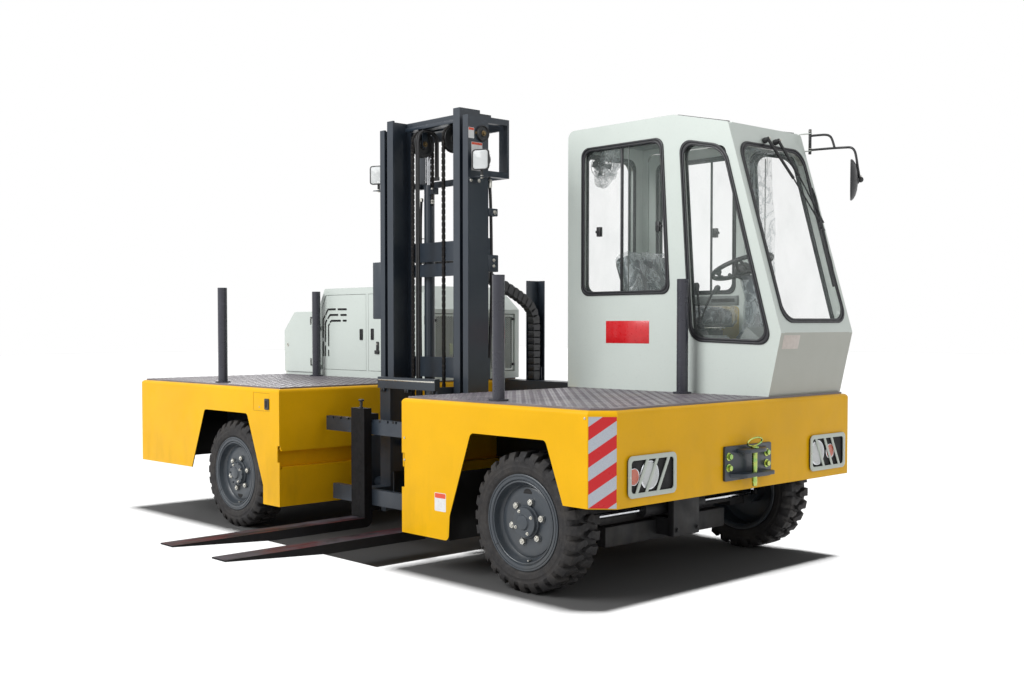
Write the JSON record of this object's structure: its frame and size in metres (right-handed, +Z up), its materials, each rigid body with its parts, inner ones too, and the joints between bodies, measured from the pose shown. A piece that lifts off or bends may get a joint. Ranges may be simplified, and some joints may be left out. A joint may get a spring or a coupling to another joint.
{
  "type": "side-loading forklift",
  "caption": "Side-loading forklift with a traversing mast in a central well, flat load decks, a side cab and an engine housing.",
  "frame": {"origin": "on the ground, at the middle of the machine's overall box", "axes": "+X to the cab end, +Y to the cab side, away from the forks, +Z up"},
  "size_m": [4.51, 3.3331, 2.6299],
  "materials": {
    "black_plastic": "matt",
    "chain_steel": "oiled",
    "chrome_rod": "polished",
    "clear_glass": "clear",
    "deck_plate": "satin, raised tread pattern",
    "engine_iron": "painted",
    "fork_steel": "worn black",
    "frame_paint": "satin",
    "grey_paint": "satin",
    "lamp_lens": "clear and amber lenses",
    "mast_paint": "satin",
    "rim_paint": "satin",
    "seat_cover": "vinyl",
    "tyre": "matt",
    "yellow_paint": "satin",
    "zinc_steel": "zinc plated"
  },
  "bodies": {
    "chassis": {"front_body": "yellow_paint", "rear_body": "yellow_paint", "decks": "deck_plate", "main_frame": "frame_paint", "traverse_rails": "frame_paint", "load_posts": "mast_paint", "tow_hitch": "zinc_steel", "lamp_guards": "grey_paint", "front_axle": "frame_paint", "rear_axle": "frame_paint", "cab_near_wall": "grey_paint", "cab_far_wall": "grey_paint", "cab_rear_wall": "grey_paint", "cab_roof": "grey_paint", "cab_front": "grey_paint", "cab_glass": "clear_glass", "seat_base": "black_plastic", "seat": "seat_cover", "dashboard": "black_plastic", "engine_hood": "grey_paint", "radiator_grille": "zinc_steel", "rear_box": "grey_paint", "engine_block": "engine_iron", "energy_chain": "black_plastic", "mirror": "black_plastic", "wiper": "black_plastic", "control_levers": "black_plastic", "headlamps": "lamp_lens"},
    "mast_base": {"mast_base": "mast_paint"},
    "outer_mast": {"outer_mast": "mast_paint", "lift_cylinders": "mast_paint", "work_lamps": "black_plastic"},
    "inner_mast": {"inner_mast": "mast_paint", "chain_sheaves": "chain_steel", "lift_chains": "chain_steel"},
    "fork_carriage": {"fork_carriage": "mast_paint"},
    "rear_fork": {"rear_fork": "fork_steel"},
    "front_fork": {"front_fork": "fork_steel"},
    "tilt_barrels": {"tilt_barrels": "mast_paint"},
    "tilt_rods": {"tilt_rods": "chrome_rod"},
    "near_knuckle": {"knuckle_near": "frame_paint"},
    "far_knuckle": {"knuckle_far": "frame_paint"},
    "steering_rod": {"steering_rod": "chrome_rod"},
    "steering_wheel": {"steering_wheel": "black_plastic"},
    "cab_door": {"cab_door": "grey_paint", "door_glass": "clear_glass"},
    "rear_hood_door": {"hood_door_rear": "grey_paint"},
    "front_hood_door": {"hood_door_front": "grey_paint"},
    "box_door": {"box_door": "grey_paint"},
    "filler_flap": {"filler_flap": "yellow_paint"},
    "wheel_front_near": {"tyre_front_near": "tyre", "rim_front_near": "rim_paint"},
    "wheel_front_far": {"tyre_front_far": "tyre", "rim_front_far": "rim_paint"},
    "wheel_rear_near": {"tyre_rear_near": "tyre", "rim_rear_near": "rim_paint"},
    "wheel_rear_far": {"tyre_rear_far": "tyre", "rim_rear_far": "rim_paint"}
  },
  "joints": [
    {"name": "mast_traverse", "type": "slide", "parent": "chassis", "child": "mast_base", "axis": [0, 1, 0], "range_m": [-0.26, 0.95], "deforming": ["energy_chain"]},
    {"name": "mast_tilt", "type": "hinge", "parent": "mast_base", "child": "outer_mast", "pos_m": [0.133, 0.121, 0.3], "axis": [1, 0, 0], "range_deg": [-5, 3]},
    {"name": "mast_lift", "type": "slide", "parent": "outer_mast", "child": "inner_mast", "axis": [0, 0, 1], "range_m": [-0.05, 1.55], "deforming": ["lift_chains"]},
    {"name": "fork_lift", "type": "slide", "parent": "inner_mast", "child": "fork_carriage", "axis": [0, 0, 1], "range_m": [-0.05, 1.55]},
    {"name": "rear_fork_spacing", "type": "slide", "parent": "fork_carriage", "child": "rear_fork", "axis": [1, 0, 0], "range_m": [-0.26, 0.13]},
    {"name": "front_fork_spacing", "type": "slide", "parent": "fork_carriage", "child": "front_fork", "axis": [1, 0, 0], "range_m": [-0.26, 0.015]},
    {"name": "tilt_cylinder_swing", "type": "hinge", "parent": "mast_base", "child": "tilt_barrels", "pos_m": [0.133, 0.2875, 0.36], "axis": [1, 0, 0], "range_deg": [-6.5, 4.5]},
    {"name": "tilt_cylinder_stroke", "type": "slide", "parent": "tilt_barrels", "child": "tilt_rods", "axis": [0, 0, 1], "range_m": [-0.02, 0.02]},
    {"name": "near_steering", "type": "hinge", "parent": "chassis", "child": "near_knuckle", "pos_m": [1.608, -0.3485, 0.353], "axis": [0, 0, 1], "range_deg": [-32, 32]},
    {"name": "far_steering", "type": "hinge", "parent": "chassis", "child": "far_knuckle", "pos_m": [1.608, 1.2235, 0.353], "axis": [0, 0, 1], "range_deg": [-32, 32]},
    {"name": "steering_stroke", "type": "slide", "parent": "chassis", "child": "steering_rod", "axis": [0, 1, 0], "range_m": [-0.09, 0.09]},
    {"name": "wheel_spin_front_near", "type": "hinge", "parent": "near_knuckle", "child": "wheel_front_near", "pos_m": [1.608, -0.4845, 0.353], "axis": [0, 1, 0], "continuous": true},
    {"name": "wheel_spin_front_far", "type": "hinge", "parent": "far_knuckle", "child": "wheel_front_far", "pos_m": [1.608, 1.3595, 0.353], "axis": [0, 1, 0], "continuous": true},
    {"name": "wheel_spin_rear_near", "type": "hinge", "parent": "chassis", "child": "wheel_rear_near", "pos_m": [-1.06, -0.4845, 0.353], "axis": [0, 1, 0], "continuous": true},
    {"name": "wheel_spin_rear_far", "type": "hinge", "parent": "chassis", "child": "wheel_rear_far", "pos_m": [-1.06, 1.3595, 0.353], "axis": [0, 1, 0], "continuous": true},
    {"name": "steering_wheel_turn", "type": "hinge", "parent": "chassis", "child": "steering_wheel", "pos_m": [1.71, 1.13, 1.67], "axis": [-0.3746, 0, 0.9272], "continuous": true},
    {"name": "cab_door_hinge", "type": "hinge", "parent": "chassis", "child": "cab_door", "pos_m": [0.757, 1.5005, 1.15], "axis": [0, 0, 1], "range_deg": [0, 85]},
    {"name": "rear_hood_door_hinge", "type": "hinge", "parent": "chassis", "child": "rear_hood_door", "pos_m": [-1.72, 0.6275, 0.994], "axis": [0, 0, 1], "range_deg": [-45, 0]},
    {"name": "front_hood_door_hinge", "type": "hinge", "parent": "chassis", "child": "front_hood_door", "pos_m": [-0.532, 0.6275, 0.994], "axis": [0, 0, 1], "range_deg": [0, 90]},
    {"name": "box_door_hinge", "type": "hinge", "parent": "chassis", "child": "box_door", "pos_m": [-1.758, 0.6095, 1.09], "axis": [0, 0, 1], "range_deg": [0, 60]},
    {"name": "filler_flap_hinge", "type": "hinge", "parent": "chassis", "child": "filler_flap", "pos_m": [-0.752, -0.6245, 0.787], "axis": [0, 0, 1], "range_deg": [-100, 0]}
  ],
  "couplings": [
    {"joint": "fork_lift", "follows": "mast_lift", "ratio": 1},
    {"joint": "tilt_cylinder_swing", "follows": "mast_tilt", "ratio": 1.15},
    {"joint": "tilt_cylinder_stroke", "follows": "mast_tilt", "m_per_rad": 0.1665},
    {"joint": "far_steering", "follows": "near_steering", "ratio": 1},
    {"joint": "steering_stroke", "follows": "near_steering", "m_per_rad": 0.126}
  ]
}
